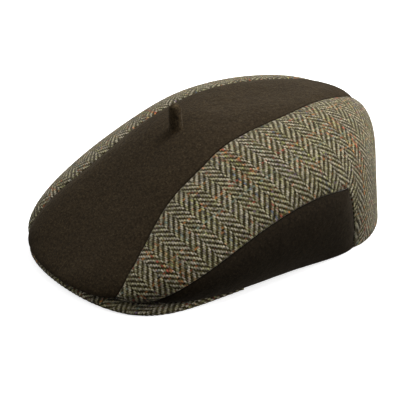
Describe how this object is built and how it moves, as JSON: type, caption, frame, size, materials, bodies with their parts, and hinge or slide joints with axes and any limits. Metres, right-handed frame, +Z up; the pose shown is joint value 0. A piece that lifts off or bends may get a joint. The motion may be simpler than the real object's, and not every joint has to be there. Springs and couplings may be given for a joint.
{
  "type": "flat cap",
  "caption": "Flat cap of dark felt and herringbone tweed panels, with a short stiff peak and a felt stem on the crown.",
  "frame": {"origin": "centre of the cap's box, on the surface it rests on", "axes": "+Z up, the peak points along -Y, the wearer's left side is +X"},
  "size_m": [0.1914, 0.2632, 0.1083],
  "materials": {
    "felt": "matt felted wool",
    "tweed": "matt herringbone wool"
  },
  "bodies": {
    "root": {"top_panel": "felt", "side_panel_left": "tweed", "side_panel_right": "tweed", "ear_panel_left": "felt", "ear_panel_right": "felt", "peak": "tweed", "stem": "felt"}
  },
  "joints": []
}
